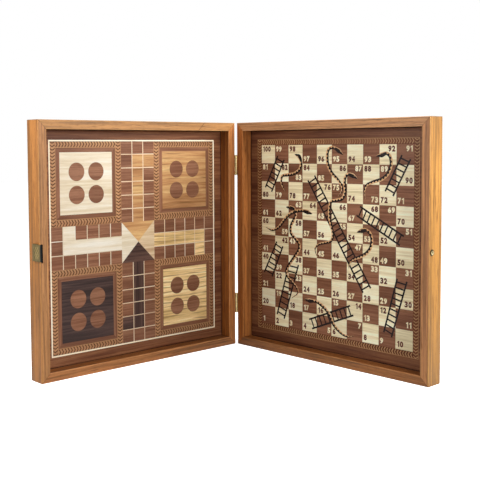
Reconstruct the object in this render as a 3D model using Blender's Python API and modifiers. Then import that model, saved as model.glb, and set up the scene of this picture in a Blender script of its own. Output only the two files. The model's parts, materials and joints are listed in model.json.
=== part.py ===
"""A folding wooden game case: two square trays on butt hinges, standing open like a book.

All lengths are in metres. The hinge pins stand upright, and the trays' rims face the inside of
the fold. Each tray is four mitred rails round a veneered panel that lies in their grooves.
"""

import math
from collections import namedtuple

import bmesh
import bpy
from mathutils import Vector

HALF_TURN = math.pi
QUARTER_TURN = math.pi / 2

# Trays
tray_side = 0.340
tray_depth = 0.0276
rail_width = 0.0124
rail_edge_radius = 0.0009
rail_edge_steps = 3
mitre_gap = 0.0001
rim_gap = 0.0004
opening_angle = math.radians(91.5)

# Panels, from the game face inside the well to the one on the case's outside
well_depth = 0.0182
core_thickness = 0.005
veneer_thickness = 0.0006
glue_line = 0.0001
groove_depth = 0.005
groove_play = 0.0003

# Hinges
hinge_length = 0.030
hinge_inset = 0.064
hinge_knuckles = 5
hinge_knuckle_radius = 0.0018
hinge_pin_radius = 0.0009
hinge_leaf_reach = 0.0130
hinge_leaf_thickness = 0.0011
hinge_screw_reach = 0.0080
hinge_screw_inset = 0.006

# Clasp on the left tray, and the stud that it closes over on the right one
clasp_length = 0.022
clasp_inset = 0.0125
clasp_knuckles = 3
clasp_knuckle_radius = 0.0016
clasp_pin_radius = 0.0007
clasp_leaf_thickness = 0.0007
clasp_plate_reach = 0.0105
clasp_screw_reach = 0.0065
clasp_screw_inset = 0.005
flap_reach = 0.0211
lip_radius = 0.0016
lip_turn = math.radians(95)
lip_steps = 8
lip_ear = 0.0012
stud_inset = 0.0055
stud_radius = 0.0032
stud_rise = 0.0015
stud_edge = 0.0002
stud_dimple_radius = 0.0007
stud_dimple_depth = 0.0004
stud_shank_radius = 0.0009
stud_length = 0.0085
ring_radius = 0.0040
ring_thickness = 0.0004

# Screws
ScrewSize = namedtuple("ScrewSize", "length head_radius head_depth shank_radius slot_width slot_depth")
hinge_screw = ScrewSize(0.0085, 0.0021, 0.0009, 0.0010, 0.0005, 0.0004)
clasp_screw = ScrewSize(0.0070, 0.0016, 0.0005, 0.0007, 0.0004, 0.0003)

# Clearances between pieces, and how far a cut runs past what it cuts
knuckle_gap = 0.0003
notch_clearance = 0.0002
pin_clearance = 0.00015
barrel_gap = 0.0002
seat_gap = 0.0003
screw_clearance = 0.00015
leaf_corner_radius = 0.0015
leaf_corner_steps = 4
cut_overrun = 0.002
merge_distance = 0.00001
smooth_angle = math.radians(40)
barrel_sides = 32
screw_sides = 24
stud_sides = 32
dome_steps = 6

# Places that follow from the sizes
axis_offset = hinge_knuckle_radius + barrel_gap
case_reach = axis_offset + tray_side
rim_offset = rim_gap / 2
mid_height = tray_side / 2
tray_centre_reach = axis_offset + tray_side / 2
panel_side = tray_side - 2 * (rail_width - groove_depth + groove_play)
core_start = well_depth + veneer_thickness + glue_line
outer_veneer_start = core_start + core_thickness + glue_line
panel_end = outer_veneer_start + veneer_thickness
clasp_axis_rise = clasp_knuckle_radius + barrel_gap
clasp_rise = clasp_axis_rise + clasp_knuckle_radius
lean = opening_angle - QUARTER_TURN

Barrel = namedtuple("Barrel", "length knuckles radius pin_radius")
hinge_barrel = Barrel(hinge_length, hinge_knuckles, hinge_knuckle_radius, hinge_pin_radius)
clasp_barrel = Barrel(clasp_length, clasp_knuckles, clasp_knuckle_radius, clasp_pin_radius)


def clear_scene():
    """Removes what the file opens with."""
    for obj in list(bpy.data.objects):
        bpy.data.objects.remove(obj)


def new_collection(name):
    """A collection under the scene's own."""
    collection = bpy.data.collections.new(name)
    bpy.context.scene.collection.children.link(collection)
    return collection


def new_material(name, colour, roughness, metallic):
    """A plain finish."""
    material = bpy.data.materials.new(name)
    material.use_nodes = True
    shader = material.node_tree.nodes["Principled BSDF"]
    shader.inputs["Base Color"].default_value = (*colour, 1)
    shader.inputs["Roughness"].default_value = roughness
    shader.inputs["Metallic"].default_value = metallic
    material.diffuse_color = (*colour, 1)
    return material


clear_scene()
parts = new_collection("game_case")
cutters = new_collection("game_case_cutters")
rail_wood = new_material("rail_wood", (0.47, 0.22, 0.09), 0.42, 0)
core_wood = new_material("core_wood", (0.55, 0.36, 0.20), 0.6, 0)
inner_veneer = new_material("inner_veneer", (0.24, 0.11, 0.07), 0.35, 0)
outer_veneer = new_material("outer_veneer", (0.30, 0.15, 0.08), 0.35, 0)
brass = new_material("brass", (0.72, 0.56, 0.27), 0.3, 1)
screw_brass = new_material("screw_brass", (0.60, 0.45, 0.20), 0.35, 1)


def add_empty(name, parent, location, turn_about_z):
    """A frame that pieces hang on. Its Z axis is upright."""
    empty = bpy.data.objects.new(name, None)
    parts.objects.link(empty)
    empty.parent = parent
    empty.location = location
    empty.rotation_euler = (0, 0, turn_about_z)
    return empty


def add_object(name, mesh, material, parent, location=(0, 0, 0), rotation=(0, 0, 0)):
    """Places a piece. One with no material is a helper that only cuts or joins."""
    obj = bpy.data.objects.new(name, mesh)
    obj.parent = parent
    obj.location = location
    obj.rotation_euler = rotation
    if material:
        mesh.materials.append(material)
        parts.objects.link(obj)
    else:
        cutters.objects.link(obj)
        obj.hide_render = True
        obj.display_type = "WIRE"
    return obj


def mesh_from(name, bm):
    """Turns the edit mesh into mesh data with its faces pointing out."""
    bmesh.ops.recalc_face_normals(bm, faces=bm.faces)
    mesh = bpy.data.meshes.new(name)
    bm.to_mesh(mesh)
    bm.free()
    return mesh


def combine(target, helper, operation):
    """Cuts the helper from the target, or joins it on."""
    boolean = target.modifiers.new(helper.name, "BOOLEAN")
    boolean.object = helper
    boolean.operation = operation
    boolean.solver = "EXACT"


def slab_mesh(name, size):
    """A box about its own centre."""
    bm = bmesh.new()
    bmesh.ops.create_cube(bm, size=1)
    bmesh.ops.scale(bm, vec=Vector(size), verts=bm.verts)
    return mesh_from(name, bm)


def cylinder_mesh(name, radius, height, sides):
    """An upright cylinder about its own centre. Its side is shaded smooth and its ends flat."""
    bm = bmesh.new()
    bmesh.ops.create_cone(
        bm, cap_ends=True, segments=sides, radius1=radius, radius2=radius, depth=height
    )
    mesh = mesh_from(name, bm)
    mesh.shade_smooth()
    mesh.set_sharp_from_angle(angle=smooth_angle)
    return mesh


def turned_object(name, profile, sides, material, parent, location, rotation, ring=False):
    """A turned piece. Its profile runs down its outer side, in radii and heights."""
    mesh = bpy.data.meshes.new(name)
    points = [(radius, 0, height) for radius, height in profile]
    edges = [(index, index + 1) for index in range(len(points) - 1)]
    if ring:
        edges.append((len(points) - 1, 0))
    mesh.from_pydata(points, edges, [])
    obj = add_object(name, mesh, material, parent, location, rotation)
    turn = obj.modifiers.new("turn", "SCREW")
    turn.steps = sides
    turn.render_steps = sides
    turn.use_merge_vertices = True
    turn.merge_threshold = merge_distance
    turn.use_smooth_shade = True
    return obj


def eased_corner(corner, back, ahead, radius, steps):
    """The arc that eases a square corner. back and ahead point along the outline's two sides."""
    centre = corner + (back + ahead) * radius
    points = []
    for step in range(steps + 1):
        angle = QUARTER_TURN * step / steps
        points.append(centre - (ahead * math.cos(angle) + back * math.sin(angle)) * radius)
    return points


def rail_profile():
    """A rail's section: across from its outer face, and deep from its rim, with the panel's groove."""
    across = Vector((1, 0))
    deep = Vector((0, 1))
    groove_start = well_depth - groove_play
    groove_end = panel_end + groove_play
    groove_floor = rail_width - groove_depth

    def eased(corner, back, ahead):
        return eased_corner(Vector(corner), back, ahead, rail_edge_radius, rail_edge_steps)

    outline = eased((0, 0), deep, across)
    outline += eased((rail_width, 0), -across, deep)
    outline += [
        Vector((rail_width, groove_start)),
        Vector((groove_floor, groove_start)),
        Vector((groove_floor, groove_end)),
        Vector((rail_width, groove_end)),
    ]
    outline += eased((rail_width, tray_depth), -deep, -across)
    outline += eased((0, tray_depth), across, -deep)
    return outline


def rail_mesh(name):
    """The rail at the tray's foot, mitred at both ends, about the middle of the tray's rim plane."""
    bm = bmesh.new()
    profile = rail_profile()
    ends = []
    for across, deep in profile:
        start = across + mitre_gap - tray_side / 2
        ends.append(bm.verts.new((start, deep, across - tray_side / 2)))
    section = bm.faces.new(ends)
    swept = bmesh.ops.extrude_face_region(bm, geom=[section])
    for vert in swept["geom"]:
        if isinstance(vert, bmesh.types.BMVert):
            vert.co.x = -vert.co.x
    return mesh_from(name, bm)


def build_tray(side, tray, hinge_turn):
    """Four rails and the veneered panel. Returns the two stiles, which carry the brass."""
    turns = {
        "bottom_rail": 0,
        "top_rail": HALF_TURN,
        "hinge_stile": hinge_turn,
        "clasp_stile": -hinge_turn,
    }
    rails = {}
    for piece, turn in turns.items():
        name = f"{side}_{piece}"
        rails[piece] = add_object(name, rail_mesh(name), rail_wood, tray, (0, 0, 0), (0, turn, 0))
    return rails["hinge_stile"], rails["clasp_stile"]


def build_panel(side, tray, inner_name, outer_name):
    """The plywood core and the sheet of inlaid veneer on each of its faces."""
    layers = (
        (inner_name, well_depth, veneer_thickness, inner_veneer),
        (f"{side}_panel_core", core_start, core_thickness, core_wood),
        (outer_name, outer_veneer_start, veneer_thickness, outer_veneer),
    )
    for name, start, thickness, material in layers:
        mesh = slab_mesh(name, (panel_side, thickness, panel_side))
        add_object(name, mesh, material, tray, (0, start + thickness / 2, 0))


def end_knuckles(barrel):
    """The knuckles of the leaf that has both ends of the barrel."""
    return range(0, barrel.knuckles, 2)


def inner_knuckles(barrel):
    """The knuckles between those."""
    return range(1, barrel.knuckles, 2)


def knuckle_height(barrel, index):
    """The height of a knuckle's middle from the middle of the barrel."""
    return (index + 0.5) * barrel.length / barrel.knuckles - barrel.length / 2


def add_knuckles(leaf, barrel, owned):
    """Notches the leaf for the other leaf's knuckles, joins its own on, and bores them for the pin."""
    pitch = barrel.length / barrel.knuckles
    for index in range(barrel.knuckles):
        place = (0, 0, knuckle_height(barrel, index))
        name = f"{leaf.name}_knuckle_{index + 1}"
        height = pitch - knuckle_gap
        radius = barrel.radius
        if index not in owned:
            height += 2 * notch_clearance
            radius += notch_clearance
        mesh = cylinder_mesh(name, radius, height, barrel_sides)
        helper = add_object(name, mesh, None, leaf, place)
        combine(leaf, helper, "UNION" if index in owned else "DIFFERENCE")
    name = f"{leaf.name}_bore"
    height = barrel.length + 2 * cut_overrun
    mesh = cylinder_mesh(name, barrel.pin_radius + pin_clearance, height, barrel_sides)
    combine(leaf, add_object(name, mesh, None, leaf), "DIFFERENCE")


def leaf_mesh(name, barrel, reach, thickness):
    """A flat leaf that runs from the pin's axis along Y, with its free corners rounded."""
    along = Vector((1, 0))
    up = Vector((0, 1))
    half = barrel.length / 2
    outline = [Vector((0, half)), Vector((0, -half))]
    lower = Vector((reach, -half))
    upper = Vector((reach, half))
    outline += eased_corner(lower, -along, up, leaf_corner_radius, leaf_corner_steps)
    outline += eased_corner(upper, -up, -along, leaf_corner_radius, leaf_corner_steps)
    back = seat_gap - barrel_gap - barrel.radius
    bm = bmesh.new()
    face = bm.faces.new([bm.verts.new((back, point.x, point.y)) for point in outline])
    raised = bmesh.ops.extrude_face_region(bm, geom=[face])
    verts = [item for item in raised["geom"] if isinstance(item, bmesh.types.BMVert)]
    bmesh.ops.translate(bm, vec=(thickness, 0, 0), verts=verts)
    return mesh_from(name, bm)


def screw_profile(size, clearance, head_clearance):
    """A countersunk screw from its flat head to its point, or the hole that takes it."""
    head = size.head_radius + clearance
    shank = size.shank_radius + clearance
    tip = size.length + clearance
    return [
        (0, head_clearance),
        (head, head_clearance),
        (head, 0),
        (shank, -size.head_depth - clearance),
        (shank, -tip + size.shank_radius),
        (0, -tip),
    ]


def add_screws(leaf, name, size, barrel, thickness, reach, inset, wood):
    """Two screws through a leaf into the wood, each as far from the leaf's nearer end."""
    face = seat_gap - barrel_gap - barrel.radius + thickness
    spread = barrel.length / 2 - inset
    pointing = (0, QUARTER_TURN, 0)
    for index, height in enumerate((-spread, spread)):
        place = (face, reach, height)
        hole = turned_object(
            f"{name}_{index + 1}_hole",
            screw_profile(size, screw_clearance, cut_overrun),
            screw_sides,
            None,
            leaf,
            place,
            pointing,
        )
        combine(leaf, hole, "DIFFERENCE")
        combine(wood, hole, "DIFFERENCE")
        profile = screw_profile(size, 0, 0)[2:]
        screw = turned_object(
            f"{name}_{index + 1}",
            [(0, 0)] + profile,
            screw_sides,
            screw_brass,
            leaf,
            place,
            pointing,
        )
        slot_mesh = slab_mesh(
            f"{name}_{index + 1}_slot",
            (2 * (size.head_radius + cut_overrun), size.slot_width, 2 * size.slot_depth),
        )
        slot = add_object(slot_mesh.name, slot_mesh, None, screw)
        combine(screw, slot, "DIFFERENCE")


def pin_profile(barrel):
    """A plain pin with domed ends, which stand out of the barrel by less than its radius."""
    radius = barrel.pin_radius
    dome = radius / 2
    half = barrel.length / 2
    top = []
    for step in range(dome_steps + 1):
        angle = QUARTER_TURN * step / dome_steps
        top.append((radius * math.sin(angle), half + dome * math.cos(angle)))
    bottom = [(across, -height) for across, height in reversed(top)]
    return top + bottom


def build_hinge(name, height, left_axis, right_axis, left_wood, right_wood):
    """A butt hinge whose leaves lie on the outer walls, one on each tray."""
    sides = (
        ("left", left_axis, left_wood, end_knuckles(hinge_barrel), 0),
        ("right", right_axis, right_wood, inner_knuckles(hinge_barrel), HALF_TURN),
    )
    for side, axis, wood, owned, turn in sides:
        leaf_name = f"{name}_{side}_leaf"
        mesh = leaf_mesh(leaf_name, hinge_barrel, hinge_leaf_reach, hinge_leaf_thickness)
        leaf = add_object(leaf_name, mesh, brass, axis, (0, 0, height), (0, turn, 0))
        add_knuckles(leaf, hinge_barrel, owned)
        add_screws(
            leaf,
            f"{name}_{side}_screw",
            hinge_screw,
            hinge_barrel,
            hinge_leaf_thickness,
            hinge_screw_reach,
            hinge_screw_inset,
            wood,
        )
    turned_object(
        f"{name}_pin",
        pin_profile(hinge_barrel),
        barrel_sides,
        brass,
        left_axis,
        (0, 0, height),
        (0, 0, 0),
    )


def flap_mesh(name):
    """The flap's middle surface: flat from the pin to the lip, which rolls in towards the wood."""
    middle = clasp_knuckle_radius - clasp_leaf_thickness / 2
    roll = lip_radius - clasp_leaf_thickness / 2
    half = clasp_length / 2
    rows = [(middle, 0, half), (middle, flap_reach, half)]
    for step in range(1, lip_steps + 1):
        share = step / lip_steps
        angle = lip_turn * share
        out = middle - roll * (1 - math.cos(angle))
        along = flap_reach + roll * math.sin(angle)
        rows.append((out, along, half + lip_ear * math.sin(HALF_TURN * share)))
    bm = bmesh.new()
    out, along, half = rows[0]
    ends = [bm.verts.new((out, along, -half)), bm.verts.new((out, along, half))]
    edge = bm.edges.new(ends)
    for out, along, half in rows[1:]:
        grown = bmesh.ops.extrude_edge_only(bm, edges=[edge])["geom"]
        edge = next(item for item in grown if isinstance(item, bmesh.types.BMEdge))
        for vert in edge.verts:
            vert.co = (out, along, math.copysign(half, vert.co.z))
    return mesh_from(name, bm)


def build_clasp(tray_axis, wood):
    """The clasp's plate, screwed to the left tray's wall, and its flap, which swings on a pin."""
    place = (-(case_reach + clasp_axis_rise), rim_offset + clasp_inset, mid_height)
    axis = add_empty("clasp_axis", tray_axis, place, HALF_TURN)
    mesh = leaf_mesh("clasp_plate", clasp_barrel, clasp_plate_reach, clasp_leaf_thickness)
    plate = add_object("clasp_plate", mesh, brass, axis)
    add_knuckles(plate, clasp_barrel, inner_knuckles(clasp_barrel))
    add_screws(
        plate,
        "clasp_screw",
        clasp_screw,
        clasp_barrel,
        clasp_leaf_thickness,
        clasp_screw_reach,
        clasp_screw_inset,
        wood,
    )
    flap = add_object("clasp_flap", flap_mesh("clasp_flap"), brass, axis)
    sheet = flap.modifiers.new("sheet", "SOLIDIFY")
    sheet.thickness = clasp_leaf_thickness
    sheet.offset = 0
    sheet.use_even_offset = True
    add_knuckles(flap, clasp_barrel, end_knuckles(clasp_barrel))
    turned_object(
        "clasp_pin",
        pin_profile(clasp_barrel),
        barrel_sides,
        brass,
        axis,
        (0, 0, 0),
        (0, 0, 0),
    )


def stud_profile(base):
    """A low domed button with a dimple, on a shank that goes into the wood."""
    crown = stud_rise - base - stud_edge
    profile = [(0, stud_rise - stud_dimple_depth)]
    lip_share = stud_dimple_radius / stud_radius
    first = math.asin(lip_share)
    for step in range(dome_steps + 1):
        angle = first + (QUARTER_TURN - first) * step / dome_steps
        height = base + stud_edge + crown * math.cos(angle)
        profile.append((stud_radius * math.sin(angle), height))
    profile += [
        (stud_radius, base),
        (stud_shank_radius, base),
        (stud_shank_radius, stud_shank_radius - stud_length),
        (0, -stud_length),
    ]
    return profile


def build_stud(axis, wood):
    """The stud on the right tray's outer wall and the ring that it stands on."""
    place = (case_reach, rim_offset + stud_inset, mid_height)
    outward = (0, QUARTER_TURN, 0)
    ring_foot = seat_gap
    ring_top = ring_foot + ring_thickness
    bore = stud_shank_radius + pin_clearance
    ring = [(ring_radius, ring_top), (ring_radius, ring_foot), (bore, ring_foot), (bore, ring_top)]
    turned_object("clasp_stud_ring", ring, stud_sides, brass, axis, place, outward, ring=True)
    profile = stud_profile(ring_top + notch_clearance)
    turned_object("clasp_stud", profile, stud_sides, brass, axis, place, outward)
    hole_profile = [
        (0, cut_overrun),
        (bore, cut_overrun),
        (bore, -stud_length - pin_clearance),
        (0, -stud_length - pin_clearance),
    ]
    hole = turned_object("clasp_stud_hole", hole_profile, stud_sides, None, axis, place, outward)
    combine(wood, hole, "DIFFERENCE")


def board_place():
    """Where the hinge axis stands, so that the middle of the case's footprint is at the origin."""
    low_x = -(case_reach + clasp_rise)
    high_x = case_reach * math.sin(lean) + (rim_offset + tray_depth) * math.cos(lean)
    stud_y = (rim_offset + stud_inset) * math.sin(lean)
    low_y = stud_y - (case_reach + stud_rise) * math.cos(lean)
    high_y = rim_offset + tray_depth
    return (-(low_x + high_x) / 2, -(low_y + high_y) / 2, 0)


def build_case():
    """The whole case, standing on its lower rails."""
    left_axis = add_empty("left_axis", None, board_place(), 0)
    right_axis = add_empty("right_axis", left_axis, (0, 0, 0), opening_angle - HALF_TURN)
    left_place = (-tray_centre_reach, rim_offset, mid_height)
    right_place = (tray_centre_reach, rim_offset, mid_height)
    left_tray = add_empty("left_tray", left_axis, left_place, 0)
    right_tray = add_empty("right_tray", right_axis, right_place, 0)
    left_hinge_wood, left_clasp_wood = build_tray("left", left_tray, -QUARTER_TURN)
    right_hinge_wood, right_clasp_wood = build_tray("right", right_tray, QUARTER_TURN)
    build_panel("left", left_tray, "ludo_face", "chess_face")
    build_panel("right", right_tray, "snakes_and_ladders_face", "backgammon_face")
    for name, height in (("upper_hinge", tray_side - hinge_inset), ("lower_hinge", hinge_inset)):
        build_hinge(name, height, left_axis, right_axis, left_hinge_wood, right_hinge_wood)
    build_clasp(left_axis, left_clasp_wood)
    build_stud(right_axis, right_clasp_wood)


build_case()
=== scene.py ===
"""The looks of the folding game case: its woods, the four inlaid game faces, the brass and the studio.

Lengths of the game faces are in millimetres from the middle of their board, as the player sees them:
u to the right, v up. Everything else is in metres.
"""

import json
import math
import random

import bpy
from mathutils import Matrix, Vector


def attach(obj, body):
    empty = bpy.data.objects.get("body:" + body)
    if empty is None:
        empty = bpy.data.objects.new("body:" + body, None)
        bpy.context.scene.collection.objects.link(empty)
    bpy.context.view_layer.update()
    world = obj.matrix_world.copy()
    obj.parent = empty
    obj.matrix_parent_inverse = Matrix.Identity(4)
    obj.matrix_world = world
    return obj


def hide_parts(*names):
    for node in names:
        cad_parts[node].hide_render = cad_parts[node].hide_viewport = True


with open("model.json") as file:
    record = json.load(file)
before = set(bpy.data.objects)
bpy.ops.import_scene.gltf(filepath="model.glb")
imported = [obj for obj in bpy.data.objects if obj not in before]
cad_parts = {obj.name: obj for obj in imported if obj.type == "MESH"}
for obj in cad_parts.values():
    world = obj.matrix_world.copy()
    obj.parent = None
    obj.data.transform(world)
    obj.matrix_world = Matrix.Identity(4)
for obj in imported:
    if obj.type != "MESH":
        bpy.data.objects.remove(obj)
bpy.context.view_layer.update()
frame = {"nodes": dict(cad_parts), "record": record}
chance = random.Random(11)

MM = 0.001

# A tray's own axes start in the middle of its rim: along the rails, into the case, and up.
# That middle is so far beside the hinge pins, and so far behind them.
TRAY_ASIDE = 0.172
RIM_BEHIND = 0.0002
fold = next(joint for joint in frame["record"]["behaviour"]["joints"] if joint["name"] == "case_fold")
OPENING = math.radians(-fold["range_deg"][0])
HINGE_AXIS = Matrix.Translation(fold["pos_m"])
TURNED = Matrix.Rotation(OPENING - math.pi, 4, "Z")
LEFT = HINGE_AXIS @ Matrix.Translation((-TRAY_ASIDE, RIM_BEHIND, 0))
RIGHT = HINGE_AXIS @ TURNED @ Matrix.Translation((TRAY_ASIDE, RIM_BEHIND, 0))

# From a tray's middle to the inner edge, the middle and the outer edge of its rim
RIM_INSIDE = 0.1576
RIM_MIDDLE = 0.164
RIM_OUTSIDE = 0.170
# From the tray's middle to the joint in its top rail
SEAM = 0.1040

# In millimetres: half a panel's side, and how deep its two faces lie behind the rim
PANEL_HALF = 162.3
INNER_DEPTH = 18.2
OUTER_DEPTH = 24.6

# In millimetres: the step from one layer of inlay to the next, how far the ground lies below the
# frame's own face, and how thick the ground is
LAYER = 0.04
SUNK = 3 * LAYER
VENEER = 0.48


def srgb(red, green, blue):
    """A colour as it shows on a screen, in 0 to 255."""
    shares = [c / 255 for c in (red, green, blue)]
    return tuple(((c + 0.055) / 1.055) ** 2.4 if c > 0.04 else c / 12.92 for c in shares) + (1,)


def scaled_colour(colour, *shares):
    """A colour with each of its channels scaled, but none of them over 1."""
    return tuple(min(channel * share, 1) for channel, share in zip(colour, shares)) + (1,)


def rotated(points, turn, middle=(0, 0)):
    """Those points turned about the origin, and then moved to that middle."""
    cos, sin = math.cos(turn), math.sin(turn)
    return [(middle[0] + u * cos - v * sin, middle[1] + u * sin + v * cos) for u, v in points]


class Graph:
    """Builds one material's nodes."""

    def __init__(self, name, world=None):
        self.material = world or bpy.data.materials.new(name)
        self.material.use_nodes = True
        self.tree = self.material.node_tree
        self.shader = self.tree.nodes.get("Principled BSDF")

    def put(self, socket, value):
        if isinstance(value, bpy.types.NodeSocket):
            self.tree.links.new(value, socket)
        else:
            socket.default_value = value

    def node(self, kind, inputs=(), **settings):
        made = self.tree.nodes.new("ShaderNode" + kind)
        for key, value in settings.items():
            setattr(made, key, value)
        for key, value in dict(inputs).items():
            self.put(made.inputs[key], value)
        return made

    def math(self, operation, *values, clamp=False):
        made = self.node("Math", operation=operation, use_clamp=clamp)
        for index, value in enumerate(values):
            self.put(made.inputs[index], value)
        return made.outputs[0]

    def plus(self, first, second):
        return self.math("ADD", first, second)

    def minus(self, first, second):
        return self.math("SUBTRACT", first, second)

    def times(self, first, second):
        return self.math("MULTIPLY", first, second)

    def larger(self, first, second):
        return self.math("MAXIMUM", first, second)

    def size_of(self, value):
        return self.math("ABSOLUTE", value)

    def distance(self, first, second):
        """How far a point is from the origin, by its two coordinates."""
        return self.math("SQRT", self.plus(self.math("POWER", first, 2.0), self.math("POWER", second, 2.0)))

    def split(self, vector):
        return self.node("SeparateXYZ", {0: vector}).outputs

    def scaled(self, vector, scale):
        return self.node("Mapping", {"Vector": vector, "Scale": scale}).outputs[0]

    def in_tray(self, tray):
        """The shaded point of one of the frame's solids, in its tray's axes."""
        coords = self.node("TexCoord").outputs["Object"]
        inputs = {"Vector": coords, "Location": tray.translation, "Rotation": (0, 0, tray.to_euler().z)}
        return self.node("Mapping", inputs, vector_type="TEXTURE").outputs[0]

    def noise(self, vector, detail=2.0, roughness=0.5):
        inputs = {"Vector": vector, "Scale": 1.0, "Detail": detail, "Roughness": roughness}
        return self.node("TexNoise", inputs).outputs["Fac"]

    def span(self, value, low, high, out_low=0.0, out_high=1.0):
        """Turns low to high into out_low to out_high, with soft ends."""
        inputs = {"Value": value, "From Min": low, "From Max": high, "To Min": out_low, "To Max": out_high}
        return self.node("MapRange", inputs, interpolation_type="SMOOTHSTEP").outputs[0]

    def mix(self, share, first, second, blend="MIX"):
        made = self.node("Mix", data_type="RGBA", blend_type=blend)
        for index, value in ((0, share), (6, first), (7, second)):
            self.put(made.inputs[index], value)
        return made.outputs[2]

    def ramp(self, value, stops):
        made = self.node("ValToRGB", {"Fac": value})
        elements = made.color_ramp.elements
        while len(elements) < len(stops):
            elements.new(0.5)
        for element, (place, colour) in zip(elements, stops):
            element.position = place
            element.color = colour
        return made.outputs[0]

    def attribute(self, name, output):
        return self.node("Attribute", attribute_name=name).outputs[output]


def wood_nodes(graph, grain, tone, kind):
    """Colour, roughness and bump of a wood whose grain runs along the first axis of the grain vector."""

    def noise(vector, along, across, detail, roughness=0.5):
        """Noise with about so many swings to the metre along the grain and across it."""
        return graph.noise(graph.scaled(vector, (along, across, across)), detail, roughness)

    # The grain wanders a little from side to side
    bend = graph.times(graph.minus(noise(grain, 9, 60, 2), 0.5), kind.get("warp", 0.004))
    aside = graph.node("CombineXYZ", {"Y": bend}).outputs[0]
    bent = graph.node("VectorMath", {0: grain, 1: aside}, operation="ADD").outputs[0]
    # Fine and broad streaks, from the wood's dark colour to its pale one
    across = kind.get("across", 320)
    streak = noise(bent, kind.get("along", 9), across, 4, 0.62)
    broad = noise(bent, 4, across / 6, 2)
    value = graph.plus(graph.times(streak, 0.62), graph.times(broad, 0.38))
    spread = kind.get("spread", 0.16)
    colour = graph.ramp(graph.span(value, 0.5 - spread, 0.5 + spread), kind["stops"])
    if kind.get("figure"):
        # Dark growth lines, and the eyes that they bend round
        wave = {"Scale": 1.0, "Distortion": 5.0, "Detail": 2.0, "Detail Scale": 1.2}
        wave["Vector"] = graph.scaled(bent, (5, 42, 42))
        rings = graph.node("TexWave", wave, bands_direction="Y").outputs["Fac"]
        fading = graph.span(noise(grain, 14, 26, 2), 0.42, 0.60)
        lines = graph.times(graph.span(rings, 0.84, 0.97), fading)
        eyes = graph.span(noise(grain, 34, 60, 1), 0.74, 0.80)
        dark = graph.larger(lines, eyes)
        colour = graph.mix(graph.times(dark, kind["figure"]), colour, kind["pore_colour"])
    # Fibres, open pores and short flecks
    fibre = noise(grain, 70, 3600, 2)
    pore = graph.span(noise(grain, 150, 2600, 1), 0.60, 0.70)
    fleck = graph.span(noise(bent, 30, kind.get("fine", 800), 2, 0.6), 0.54, 0.72)
    pores = graph.times(pore, kind.get("pores", 0.3))
    flecks = graph.times(fleck, kind.get("flecks", 0.25))
    colour = graph.mix(graph.larger(pores, flecks), colour, kind["pore_colour"])
    # Some pieces are darker than others
    tones = kind.get("tones", 0.2)
    shade = graph.plus(graph.times(tone, tones), 1.0 - tones / 2)
    shade = graph.times(shade, graph.span(fibre, 0.2, 0.8, 0.93, 1.07))
    grey = graph.node("CombineColor", {0: shade, 1: shade, 2: shade}).outputs[0]
    colour = graph.mix(1.0, colour, grey, "MULTIPLY")
    gloss = kind.get("gloss", 0.42)
    rough = graph.plus(graph.times(pore, 0.12), graph.span(streak, 0.3, 0.7, gloss - 0.04, gloss + 0.05))
    height = graph.minus(graph.times(fibre, 0.4), graph.larger(pore, fleck))
    bump = graph.node("Bump", {"Strength": kind.get("bump", 0.25), "Distance": 0.00012, "Height": height})
    return colour, rough, bump.outputs[0]


def finish_wood(graph, colour, rough, normal, sheen=0.12):
    graph.put(graph.shader.inputs["Base Color"], colour)
    graph.put(graph.shader.inputs["Roughness"], rough)
    graph.put(graph.shader.inputs["Normal"], normal)
    graph.shader.inputs["Specular IOR Level"].default_value = sheen
    return graph.material


def wood_kind(*streaks, pore, places=(0.0, 0.5, 1.0), **marks):
    """A wood: the colours of its streaks from dark to pale, that of its pores, and how it is marked."""
    stops = tuple((place, srgb(*colour)) for place, colour in zip(places, streaks))
    return {"stops": stops, "pore_colour": srgb(*pore), **marks}


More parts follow.
